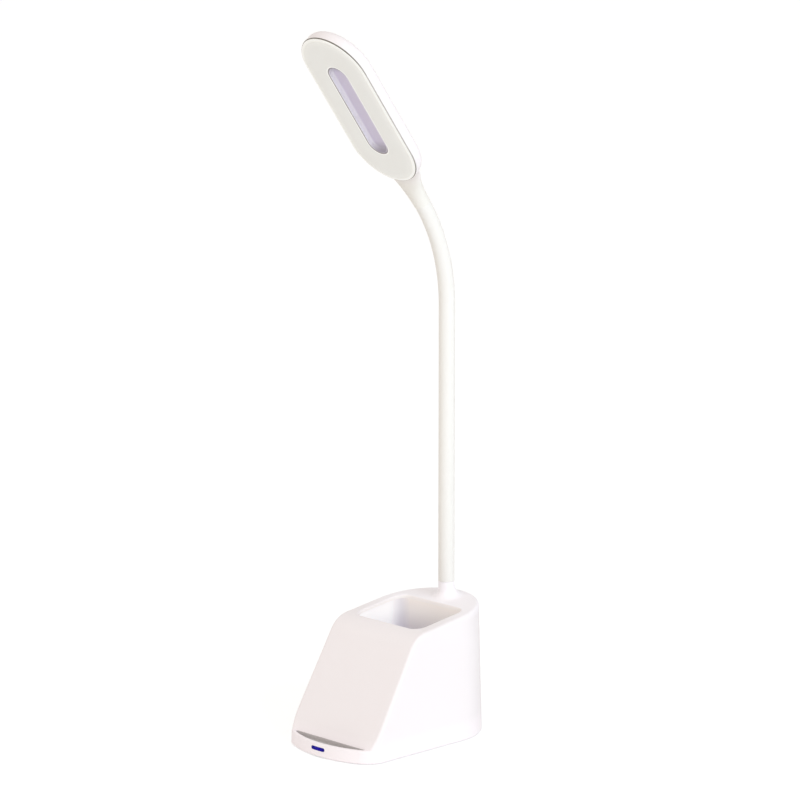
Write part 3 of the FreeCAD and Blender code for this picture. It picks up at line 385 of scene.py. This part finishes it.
half_width = CUP_HIGH[0] - CUP_WALL
half_depth = CUP_DEPTH / 2
from_middle = base_plastic.along("Y") - (CUP_HIGH[1] - CUP_WALL - half_depth)
across = base_plastic.along("X")
past_mouth = box_distance(base_plastic, across, from_middle, half_width, half_depth, CUP_CORNER)
in_mouth = base_plastic.mask(past_mouth / MOUTH_ROUND, (0.02, 1), (0.16, 0))
by_height = base_plastic.ramp(
    base_plastic.along("Z") / TOP_HEIGHT,
    (0.10, LIP_PAINTED_LIGHT),
    (0.18, NO_GLOW),
    (0.93, NO_GLOW),
    (0.98, TOP_PAINTED_LIGHT),
)
painted_glow = base_plastic.blend(in_mouth, by_height, MOUTH_PAINTED_LIGHT)
base_plastic.set(Emission_Strength=1.0, Emission_Color=painted_glow)
print("mouth", round(2000 * half_width, 1), "by", round(1000 * CUP_DEPTH, 1), "mm")

# %% [markdown]
# ## The milky front and its recess
#
# The light's front is opal plastic: it spreads the light of the LEDs behind it, so its surface is
# smooth and a little glossy, and the colour is a soft warm white with a faint cloudiness. Light is
# painted as Emission Color on a band along its outline and on the rim of the recess, so they are
# brighter than the face. A thin line of painted shade lies just inside that rim, and its outermost
# edge lies in the seam, with the seam's painted shade. In its middle is a shallow recess. The floor
# and the sides are one moulding, so one finish does both: the depth below the front face picks the
# colour, pale on the sides and a lilac-grey on the floor that is partly its own tone and partly
# painted shade, and painted shade darkens both ends of the recess.

# %% Opal front
SLOT_STRAIGHT, SLOT_RADIUS = 0.0263, 0.0077
EDGE_BAND, RIM_BAND = 0.008, 0.0012
# Painted light on the rim of the recess, and painted shade just inside it.
RIM_PAINTED_LIGHT = (0.20, 0.195, 0.19)
RIM_SHADE = (0.42, 0.38, 0.38)


def past_outline(finish, straight, radius):
    """How far a point lies outside a round-ended outline on the front."""
    half_length = straight + radius
    return box_distance(finish, finish.along("X"), up_front(finish), radius, half_length, radius)


opal_finish = Finish("opal", Specular_IOR_Level=0.5, Emission_Strength=1.0)
cloud = opal_finish.grain(0.012, detail=4.0)
fine = opal_finish.grain(0.0009, detail=2.0)
from_edge = -1 * past_outline(opal_finish, FRONT_STRAIGHT, FRONT_RADIUS) / EDGE_BAND
# Painted light: a band along the outline, brighter than the face.
edge_painted_light = opal_finish.ramp(
    from_edge,
    (0.04, (0, 0, 0)),
    (0.07, (0.13, 0.13, 0.125)),
    (0.20, (0.12, 0.118, 0.11)),
    (0.32, (0.035, 0.034, 0.03)),
    (0.80, (0, 0, 0)),
)
in_seam_shade = opal_finish.mask(from_edge, (0.035, 1), (0.065, 0))
past_slot = past_outline(opal_finish, SLOT_STRAIGHT, SLOT_RADIUS) / RIM_BAND
in_slot = opal_finish.mask(past_slot, (0.24, 1), (0.32, 0))
on_rim = opal_finish.mask(past_slot, (0.28, 0), (0.34, 1), (0.7, 1), (0.95, 0))
face = opal_finish.blend(cloud, (0.925, 0.918, 0.885), (0.905, 0.895, 0.86))
shaded = opal_finish.blend(in_slot, face, RIM_SHADE)
opal_finish.set(
    Base_Color=opal_finish.blend(in_seam_shade, shaded, seam_painted_shade(opal_finish)),
    Emission_Color=opal_finish.blend(on_rim, edge_painted_light, RIM_PAINTED_LIGHT),
    Roughness=0.34 + 0.1 * fine,
    Normal=opal_finish.relief(fine, 0.00002, 0.15),
)
print("opal for the front, a little brighter at its edges")

# %% Recess in the front
FACE_LEVEL = -0.0068
RECESS_DEPTH = 0.0032
# Painted shade at both ends of the recess.
RECESS_END_SHADE = (0.47, 0.44, 0.50)

recess_finish = Finish("recess", Specular_IOR_Level=0.4)
depth = (past_neck(recess_finish, INWARD) - FACE_LEVEL) / RECESS_DEPTH
# Painted shade by depth: the floor darker and lilac-grey, partly its own tone.
recess_tone_and_shade = recess_finish.ramp(
    depth, (0.1, (0.88, 0.86, 0.93)), (0.80, (0.85, 0.82, 0.90)), (0.94, (0.665, 0.61, 0.745))
)
to_end = recess_finish.reckon("ABSOLUTE", up_front(recess_finish), 0.0)
at_end = recess_finish.mask(to_end / (SLOT_STRAIGHT + SLOT_RADIUS), (0.80, 0), (0.97, 1))
recess_finish.set(
    Base_Color=recess_finish.blend(at_end, recess_tone_and_shade, RECESS_END_SHADE),
    Roughness=0.4 + 0.1 * recess_finish.grain(SKIN, detail=3.0),
)
dress(recess_finish.material, "centre_tray")

# %% [markdown]
# ## The soft groove liner and the blue light
#
# A telephone stands in the groove on a soft liner that keeps it from sliding. Its grey is painted
# shade, for the shade deep in the groove. Soft foamed rubber is matt and slightly pitted, so its
# noise goes into the relief as well as into the tone. It glows by itself, brightest in
# its middle, so it needs Emission Color rather than a bright lamp.

# %% Liner and grip mat
def soft_rubber(name, light, shade, pit):
    """Matt foamed rubber with pits so many metres across."""
    finish = Finish(name, Specular_IOR_Level=0.3)
    pits = finish.grain(pit, detail=3.0, rough=0.6)
    drift = finish.grain(30 * pit)
    finish.set(
        Base_Color=finish.blend(0.6 * pits + 0.4 * drift, light, shade),
        Roughness=0.75 + 0.15 * pits,
        Normal=finish.relief(pits, 0.15 * pit, 0.5),
    )
    return finish.material


# The liner's grey is painted shade for the depth of the groove.
liner = soft_rubber("groove_liner_painted_shade", (0.56, 0.53, 0.52), (0.50, 0.47, 0.465), 0.0005)
grip = soft_rubber("grip_mat", (0.05, 0.05, 0.053), (0.035, 0.035, 0.038), 0.0008)
dress(liner, "groove_pad")
dress(grip, "grip_mat")

# %% Blue lens
lens_low, lens_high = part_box("indicator_lens")
lens_middle = [(a + b) / 2 for a, b in zip(lens_low, lens_high)]
lens_finish = Finish("blue_lens", Emission_Strength=1.0, Specular_IOR_Level=0.1)
ends = {0: lens_finish.place(), 1: lens_middle}
from_middle = lens_finish.node("VectorMath", {"operation": "DISTANCE"}, ends, output="Value")
edge = from_middle / (lens_high[0] - lens_middle[0])
lens_finish.set(
    Base_Color=lens_finish.blend(edge, (0.006, 0.003, 0.14), (0.004, 0.002, 0.08)),
    Emission_Color=lens_finish.blend(edge, (0.004, 0.0, 0.20), (0.002, 0.0, 0.10)),
    Roughness=0.2 + 0.1 * lens_finish.grain(0.0006),
)
dress(lens_finish.material, "indicator_lens")

# %% [markdown]
# ## Metal, boards and leads inside
#
# The inner pieces are seen only when the lamp is taken apart, but they have their own finishes.
# Zinc plate, brass and copper differ in colour and in how they were scratched, so one function
# serves them all. The hose gets ridges from a wave along its length, and at a scale of 1 such a
# wave turns 20 radians in a metre. Circuit boards are glass cloth under green lacquer, so a faint
# weave shows through it.

# %% Metals
def metal(name, light, shade, roughness, scratch, stretch=(1, 1, 1)):
    """Bare metal with scratches so many metres across, drawn out by stretch."""
    finish = Finish(name, Metallic=1.0)
    drawn = finish.node("Mapping", {}, {"Vector": finish.place(), "Scale": stretch})
    sockets = {"Vector": drawn, "Scale": 1.0 / scratch, "Detail": 4.0}
    scratches = finish.node("TexNoise", {}, sockets)
    finish.set(
        Base_Color=finish.blend(scratches, light, shade),
        Roughness=roughness + 0.15 * scratches,
        Normal=finish.relief(scratches, 0.02 * scratch, 0.4),
    )
    return finish.material


zinc = metal("zinc_plate", (0.62, 0.63, 0.66), (0.50, 0.51, 0.53), 0.28, 0.0009)
brass = metal("turned_brass", (0.72, 0.55, 0.26), (0.60, 0.44, 0.19), 0.25, 0.0006, (1, 1, 6))
copper = metal("copper_foil", (0.76, 0.42, 0.28), (0.64, 0.33, 0.21), 0.3, 0.0010, (1, 4, 4))
dress(zinc, "cover_screws", "ballast_plate", "battery_tabs", "usb_socket", "usb_screws",
      "board_screws", "neck_washer", "neck_nut", "head_screws")
dress(brass, "neck_bush", "head_ferrule")
dress(copper, "touch_pad")

# %% Wound hose
HOSE_PITCH = 0.0009
WAVE_RATE = 20
hose_finish = Finish("wound_hose", Metallic=1.0)
coils = hose_finish.node(
    "TexWave", {"bands_direction": "Z"},
    {"Vector": hose_finish.place(), "Scale": 2 * pi / (WAVE_RATE * HOSE_PITCH), "Distortion": 0.0},
    output="Fac",
)
hose_finish.set(
    Base_Color=hose_finish.blend(coils, (0.30, 0.30, 0.31), (0.55, 0.56, 0.58)),
    Roughness=0.34 + 0.12 * hose_finish.grain(0.0008),
    Normal=hose_finish.relief(coils, 0.0003, 0.8),
)
HINGES = 8
hoses = ["hose_base", *("hose_%d" % k for k in range(1, HINGES)), "hose_head"]
dress(hose_finish.material, *hoses)

# %% Boards, chips, diodes, cell wrap and lead jackets
def glazed(name, light, shade, roughness, size, detail=2.0, **constants):
    """Smooth lacquered or moulded skin whose tone drifts over so many metres."""
    finish = Finish(name, **constants)
    drift = finish.grain(size, detail)
    finish.set(
        Base_Color=finish.blend(drift, light, shade),
        Roughness=roughness + 0.12 * drift,
        Normal=finish.relief(drift, 0.03 * size, 0.3),
    )
    return finish.material


CLOTH = 0.0007
board_green = glazed("board_lacquer", (0.02, 0.16, 0.06), (0.012, 0.10, 0.035), 0.28, CLOTH)
board_white = glazed("board_white", (0.82, 0.82, 0.80), (0.76, 0.76, 0.74), 0.35, CLOTH)
chip_black = glazed("chip_black", (0.02, 0.02, 0.022), (0.012, 0.012, 0.014), 0.45, 0.0004)
phosphor = glazed("phosphor", (0.90, 0.72, 0.12), (0.84, 0.62, 0.08), 0.4, 0.0005)
cell_wrap = glazed("cell_wrap", (0.03, 0.16, 0.30), (0.02, 0.12, 0.24), 0.3, 0.012, Coat_Weight=0.3)
jacket = glazed("lead_jacket", (0.34, 0.02, 0.02), (0.27, 0.015, 0.015), 0.42, 0.004)
dress(board_green, "usb_board", "control_board", "touch_board")
dress(board_white, "led_board")
dress(chip_black, "board_parts")
dress(phosphor, "leds", "status_led")
dress(cell_wrap, "battery_cell")
dress(jacket, "neck_tail_lead", "usb_lead", "battery_leads", "touch_lead", "head_lead")

# %% [markdown]
# ## The neck's sleeve
#
# One long silicone sleeve covers the steel hose. It bends wherever the hose bends, so it can't
# be a rigid solid. It could be one mesh with an armature, but here each of the eight hinges takes
# its own length of sleeve, built along the neck's centre line, which turns smoothly round the bend.
# The lengths meet end to end, so no joint line shows. Each is a run of rings round the neck's
# centre line, out along the outer wall and back along the bore. The sleeve meets the base with a
# square end, so its seam there is only a change of tone. At the light its rim is slightly rounded,
# which draws a fine dark line.

# %% The neck's centre line
NECK_Y = 0.0470
SEAM_HEIGHT = 0.09098
NECK_STRAIGHT = 0.1731
BEND_RADIUS = 0.1105
neck_length = NECK_STRAIGHT + BEND_RADIUS * HEAD_TILT
span = neck_length / HINGES


def neck_frame(s):
    """The neck's centre and its backward normal, s metres along from the lower seam."""
    turn = max(0.0, s - NECK_STRAIGHT) / BEND_RADIUS
    back = NECK_Y - BEND_RADIUS * (1 - cos(turn))
    up = SEAM_HEIGHT + min(s, NECK_STRAIGHT) + BEND_RADIUS * sin(turn)
    return Vector((0, back, up)), Vector((0, cos(turn), sin(turn)))


def around_neck(s, outline):
    """Points of an outline, given in metres across and behind the neck, set at s."""
    centre, backward = neck_frame(s)
    return [centre + Vector((x, 0, 0)) + y * backward for x, y in outline]


print("neck", round(1000 * neck_length, 1), "mm long,", round(1000 * span, 2), "mm a hinge")

# %% A solid skinned over rings
SHARP_ANGLE = radians(35)


def skinned(name, rings, looped):
    """Mesh object over rings of points; looped joins the last ring to the first."""
    sides = len(rings[0])
    points = [point for ring in rings for point in ring]
    pairs = len(rings) if looped else len(rings) - 1
    faces = []
    for i in range(pairs):
        here, there = i * sides, (i + 1) % len(rings) * sides
        for j in range(sides):
            k = (j + 1) % sides
            faces.append((here + j, here + k, there + k, there + j))
    if not looped:
        faces.append(tuple(reversed(range(sides))))
        faces.append(tuple(range(len(points) - sides, len(points))))
    mesh = bpy.data.meshes.new(name)
    mesh.from_pydata(points, [], faces)
    mesh.shade_smooth()
    mesh.set_sharp_from_angle(angle=SHARP_ANGLE)
    piece = bpy.data.objects.new(name, mesh)
    bpy.context.scene.collection.objects.link(piece)
    return piece


def steps(low, high, longest):
    """Even steps from low to high, none longer than the longest."""
    count = ceil((high - low) / longest)
    return [low + (high - low) * i / count for i in range(count + 1)]


# %% [markdown]
# ## The rounded front
#
# The front isn't flat: its frame and the milky plate in it share one soft shoulder, a quarter of
# a flat ellipse, that turns the light away at the edge. Both are closed skins over outlines with
# two straight sides and round ends. Each outline is given by the half length of its straight
# sides, its radius, and how deep it lies behind the neck's axis. The finish paints light on the
# edges of the opal, a little more than on its face.

# %% Outlines of the front
FRONT_TOP = -0.0069
SHOULDER, SHOULDER_DROP = 0.0085, 0.0010
FRAME_EDGE, FRAME_INNER, HAIR_LINE = 0.0002, 0.0024, 0.00004
FRAME_TONGUE, FRAME_LEDGE = 0.00195, 0.0033
FRAME_FOOT, PLATE_FOOT, TONGUE_FOOT = -0.00605, -0.0055, -0.00385
SLOT_ROUND, SLOT_STEPS = 0.0005, 6
FRAME_STEP, PLATE_STEP = 0.0002, 0.0004
FRONT_SIDES = 160


def outline(straight, radius, depth):
    """Round-ended outline across the head, so deep behind the neck's axis."""
    points = []
    for i in range(FRONT_SIDES):
        turn = 2 * pi * (i + 0.5) / FRONT_SIDES
        reach = straight if turn < pi else -straight
        flat = Vector((radius * cos(turn), 0, 0)) + (reach + radius * sin(turn)) * UPWARD
        points.append(FRONT_CENTRE + flat + depth * INWARD)
    return points


def shoulder(inset):
    """Depth of the front so far inside the head's outline."""
    out = max(0.0, 1 - inset / SHOULDER)
    return FRONT_TOP + SHOULDER_DROP * (1 - (1 - out ** 2) ** 0.5)


def across_front(low, high, longest):
    """Outlines on the shoulder between two insets."""
    insets = steps(low, high, longest)
    return [outline(FRONT_STRAIGHT, FRONT_RADIUS - e, shoulder(e)) for e in insets]


print("shoulder", round(1000 * SHOULDER_DROP, 1), "mm high over", round(1000 * SHOULDER, 1), "mm")

# %% Frame and milky plate
frame_rings = across_front(FRAME_EDGE, FRAME_INNER, FRAME_STEP)
behind = [(FRAME_INNER, PLATE_FOOT), (FRAME_LEDGE, PLATE_FOOT), (FRAME_LEDGE, TONGUE_FOOT),
          (FRAME_TONGUE, TONGUE_FOOT), (FRAME_TONGUE, FRAME_FOOT), (FRAME_EDGE, FRAME_FOOT)]
for inset, depth_here in behind:
    frame_rings.append(outline(FRONT_STRAIGHT, FRONT_RADIUS - inset, depth_here))
front_frame = skinned("front_frame", frame_rings, looped=True)

plate_edge = FRAME_INNER + HAIR_LINE
plate_rings = across_front(plate_edge, SHOULDER, PLATE_STEP)
for i in range(SLOT_STEPS + 1):
    turn = radians(90 * i / SLOT_STEPS)
    radius = SLOT_RADIUS + SLOT_ROUND * (1 - sin(turn))
    plate_rings.append(outline(SLOT_STRAIGHT, radius, FRONT_TOP + SLOT_ROUND * (1 - cos(turn))))
plate_rings.append(outline(SLOT_STRAIGHT, SLOT_RADIUS, PLATE_FOOT))
plate_rings.append(outline(FRONT_STRAIGHT, FRONT_RADIUS - plate_edge, PLATE_FOOT))
milky_front = skinned("milky_front", plate_rings, looped=True)

for piece, node in ((front_frame, "head_frame"), (milky_front, "diffuser")):
    piece.data.materials.append(opal_finish.material)
    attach(piece, "head")
    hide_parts(node)
print("front:", len(frame_rings), "and", len(plate_rings), "outlines")

# %% [markdown]
# Silicone is matt and a little translucent, and picks up dust. Its tone is a little yellower than
# the shell's, and its highlights are wider. It could be glossy with a bump map. Here a rougher
# shader does most of it, and a very fine relief keeps the long sleeve from looking like glass.

# %% Silicone
silicone = Finish("silicone", Specular_IOR_Level=0.35)
dust = silicone.grain(0.0004, detail=3.0)
tone = silicone.grain(0.03)
silicone.set(
    Base_Color=silicone.blend(tone, (0.88, 0.85, 0.81), (0.86, 0.83, 0.79)),
    Roughness=0.5 + 0.12 * dust,
    Normal=silicone.relief(dust, 0.00002, 0.3),
)
print(silicone.material.name, "for the sleeve")

# %% Eight lengths of sleeve
SLEEVE_RADIUS = 0.0050
SLEEVE_BORE = 0.0042
SLEEVE_GAP = 0.0001
RIM_ROUND, RIM_STEPS = 0.00035, 4
RING_STEP = 0.0012
GRIP = 0.0020
AROUND = 32


def circle(radius):
    """Points round a circle."""
    turns = [2 * pi * i / AROUND for i in range(AROUND)]
    return [(radius * cos(t), radius * sin(t)) for t in turns]


def rim(distance):
    """Outer radius so far from a rounded end."""
    short = max(0.0, RIM_ROUND - distance)
    return SLEEVE_RADIUS - RIM_ROUND + (RIM_ROUND ** 2 - short ** 2) ** 0.5


def cross_hinge(piece, k, node, material):
    """Put a piece in place of hinge k's plain solid, with its material."""
    start = neck_frame(span * (k - 1) + GRIP)[0]
    end = neck_frame(span * k - GRIP)[0]
    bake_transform(piece)
    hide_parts(node)
    piece.data.materials.append(material)


for k in range(1, HINGES + 1):
    low = max(span * (k - 1), SLEEVE_GAP)
    high = min(span * k, neck_length - SLEEVE_GAP)
    outer = [(s, SLEEVE_RADIUS) for s in steps(low, high, RING_STEP)]
    if k == HINGES:
        rounding = [RIM_ROUND * i / RIM_STEPS for i in range(RIM_STEPS + 1)]
        outer = outer[:-1] + [(high - d, rim(d)) for d in reversed(rounding)]
    wall = outer + [(s, SLEEVE_BORE) for s in reversed(steps(low, high, RING_STEP))]
    rings = [around_neck(s, circle(r)) for s, r in wall]
    sleeve = skinned("sleeve_length_%d" % k, rings, looped=True)
    cross_hinge(sleeve, k, "sleeve_%d" % k, silicone.material)
print("sleeve:", HINGES, "lengths of", len(rings), "rings")

# %% [markdown]
# ## The twin lead inside the hose
#
# Two insulated cores, moulded side by side with a thin web between them, carry the current up
# to the light. Seen from the end it is a figure of eight. The lead bends with the sleeve, length
# by length, so it uses the same rings with another outline.

# %% Eight lengths of twin lead
CORE_RADIUS = 0.0006
CORE_APART = 0.0007
CORE_STEPS = 10
WEB = radians(30)


def figure_eight():
    """Outline of two cores and the web between them."""
    sweep = [WEB + (2 * pi - 2 * WEB) * i / CORE_STEPS - pi for i in range(CORE_STEPS + 1)]
    right = [(CORE_APART + CORE_RADIUS * cos(t), CORE_RADIUS * sin(t)) for t in sweep]
    return right + [(-x, -y) for x, y in right]


for k in range(1, HINGES + 1):
    rings = [around_neck(s, figure_eight()) for s in steps(span * (k - 1), span * k, RING_STEP)]
    lead = skinned("lead_length_%d" % k, rings, looped=False)
    cross_hinge(lead, k, "lead_%d" % k, jacket)
print("lead:", HINGES, "lengths of", len(rings), "rings")

# %% [markdown]
# ## Table, light and camera
#
# The lamp stands on a plain white table in a bright room. A soft window to its right makes the
# right side the brightest and lets the front fall off a little. The room lights the rest, mostly
# from the front. A white that the camera sees is not the same as the light that falls on the
# lamp: Light Path tells the two apart, so the backdrop can be white while the lamp is lit at a
# plain level. The table keeps part of its own shading, and with it the lamp's shadow.

# %% White table
TABLE_SIDE = 12.0
TABLE_SHADE = 0.5
TABLE_GLOW = 0.67
bpy.ops.mesh.primitive_plane_add(size=TABLE_SIDE, location=(0, 0, 0))
table = bpy.context.object
table.name = "table"
table_white = Finish("table_white", Base_Color=(0.97, 0.97, 0.97, 1.0), Specular_IOR_Level=0.0)
table_white.set(Roughness=0.9 + 0.05 * table_white.grain(0.5))
seen = table_white.node("LightPath", output="Is Camera Ray")
even = {"Color": (1, 1, 1, 1), "Strength": TABLE_GLOW / TABLE_SHADE}
white = table_white.node("Emission", {}, even)
lit = Wire(table_white, table_white.shader.outputs["BSDF"])
table_white.surface(table_white.node("MixShader", {}, {0: TABLE_SHADE * seen, 1: lit, 2: white}))
table.data.materials.append(table_white.material)
table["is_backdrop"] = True
print("table", TABLE_SIDE, "m wide")

# %% Room light
ROOM_LIGHT = 0.685
ROOM_LEAN = 0.6
ROOM_COLOUR = (1.0, 0.96, 0.915)
ROOM_WAY = Vector((0.37, -0.90, 0.22)).normalized()
room = bpy.data.worlds.new("room")
room.use_nodes = True
bpy.context.scene.world = room
air = Wiring(room.node_tree, "Background", "OutputWorld")
direct = air.node("LightPath", output="Is Camera Ray")
mirrored = air.node("LightPath", output="Is Glossy Ray")
through = air.node("LightPath", output="Is Transmission Ray")
looked_at = air.reckon("MAXIMUM", direct, air.reckon("MAXIMUM", mirrored, through))
heading = air.node("TexCoord", output="Generated")
facing = air.dot(heading, ROOM_WAY)
falling = ROOM_LIGHT * (1 + ROOM_LEAN * facing)
air.feed(air.shader.inputs["Color"], air.blend(looked_at, ROOM_COLOUR, (1, 1, 1)))
air.feed(air.shader.inputs["Strength"], falling + looked_at * (1 - falling))
print("room light", ROOM_LIGHT)

# %% Window light
WINDOW_POWER = 11.0
WINDOW_COLOUR = (0.70, 0.845, 0.97)
WINDOW_SIDE = 1.0
WINDOW_AWAY = 1.6
WINDOW_WAY = Vector((1.0, -0.05, 0.40)).normalized()
aim = Vector((0, 0, 0.15))
window = bpy.data.objects.new("window", bpy.data.lights.new("window", "AREA"))
window.data.shape = "DISK"
window.data.size = WINDOW_SIDE
window.data.energy = WINDOW_POWER
window.data.color = WINDOW_COLOUR
window.location = aim + WINDOW_AWAY * WINDOW_WAY
window.rotation_euler = WINDOW_WAY.to_track_quat("Z", "Y").to_euler()
bpy.context.scene.collection.objects.link(window)
print("window light", WINDOW_POWER, "W")

# %% Camera
AZIMUTH = radians(45.72)
ELEVATION = radians(11.8)
CAMERA_PLACE = Vector((1.7911, -1.73963, 0.73341))
LENS_LENGTH, SENSOR_WIDTH = 189.855, 36.0
backwards = Vector((sin(AZIMUTH) * cos(ELEVATION), -cos(AZIMUTH) * cos(ELEVATION), sin(ELEVATION)))
camera = bpy.data.objects.new("camera", bpy.data.cameras.new("camera"))
camera.location = CAMERA_PLACE
camera.rotation_euler = backwards.to_track_quat("Z", "Y").to_euler()
camera.data.sensor_width = SENSOR_WIDTH
camera.data.lens = LENS_LENGTH
bpy.context.scene.collection.objects.link(camera)
bpy.context.scene.camera = camera
bpy.context.scene.view_settings.view_transform = "Standard"
print("camera", round((CAMERA_PLACE - aim).length, 2), "m away")

# %% [markdown]
# ## Size of the dressed lamp
#
# The span of all that is drawn, the solids and what this file adds, is printed in millimetres.

# %% Print the span of the dressed lamp
low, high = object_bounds()
print("dressed spans", [round(1000 * (b - a), 1) for a, b in zip(low, high)], "mm")
